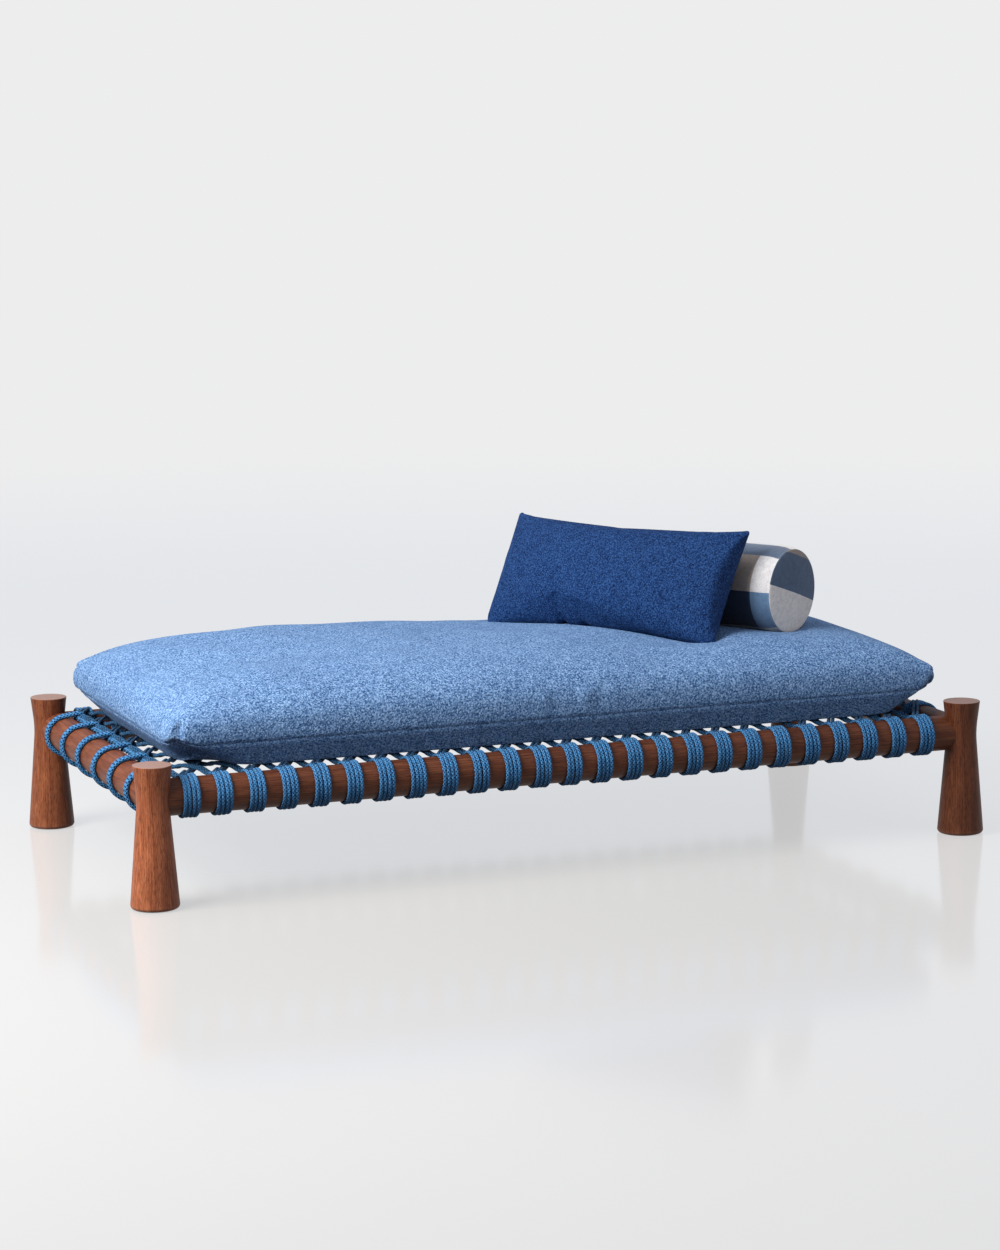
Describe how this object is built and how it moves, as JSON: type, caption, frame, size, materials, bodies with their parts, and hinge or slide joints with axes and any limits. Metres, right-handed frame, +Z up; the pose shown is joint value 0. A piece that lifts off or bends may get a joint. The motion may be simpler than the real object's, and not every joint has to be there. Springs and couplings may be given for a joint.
{
  "type": "daybed",
  "caption": "Low daybed with turned wooden legs, round rails, a laced rope web, and a loose mattress, pillow and bolster.",
  "frame": {"origin": "on the floor, at the centre of the rectangle of the four legs", "axes": "+X along the bed towards the head end, where the bolster lies; +Y from the front rail to the back rail; +Z up"},
  "size_m": [2, 1, 0.69],
  "materials": {
    "frame_wood": "oiled hardwood, satin",
    "rope": "braided polyester rope, matt",
    "mattress_fabric": "melange woven outdoor fabric, matt",
    "pillow_fabric": "dark melange woven fabric, matt",
    "bolster_fabric": "patchwork of woven fabrics, matt",
    "filling": "quick-dry polyester fibre",
    "bolt_steel": "stainless",
    "glide_plastic": "moulded, matt"
  },
  "bodies": {
    "frame": {"leg_front_left": "frame_wood", "leg_front_right": "frame_wood", "leg_back_left": "frame_wood", "leg_back_right": "frame_wood", "glide_front_left": "glide_plastic", "glide_front_right": "glide_plastic", "glide_back_left": "glide_plastic", "glide_back_right": "glide_plastic", "corner_bolts": "bolt_steel", "rail_front": "frame_wood", "rail_back": "frame_wood", "rail_foot": "frame_wood", "rail_head": "frame_wood", "rope_bands_front": "rope", "rope_bands_back": "rope", "rope_bands_head": "rope", "rope_loops_foot": "rope", "rope_end_cord": "rope", "rope_web_upper": "rope", "rope_web_lower": "rope"},
    "mattress": {"mattress_cover": "mattress_fabric", "mattress_filling": "filling"},
    "pillow": {"pillow_cover": "pillow_fabric", "pillow_filling": "filling"},
    "bolster": {"bolster_cover": "bolster_fabric", "bolster_filling": "filling"}
  },
  "joints": [
    {"name": "mattress_lift", "type": "slide", "parent": "frame", "child": "mattress", "axis": [0, 0, 1], "range_m": [0, 0.3]},
    {"name": "pillow_lift", "type": "slide", "parent": "mattress", "child": "pillow", "axis": [0, 0, 1], "range_m": [0, 0.3]},
    {"name": "bolster_lift", "type": "slide", "parent": "mattress", "child": "bolster", "axis": [0.5481, 0.3358, 0.766], "range_m": [0, 0.4]}
  ]
}
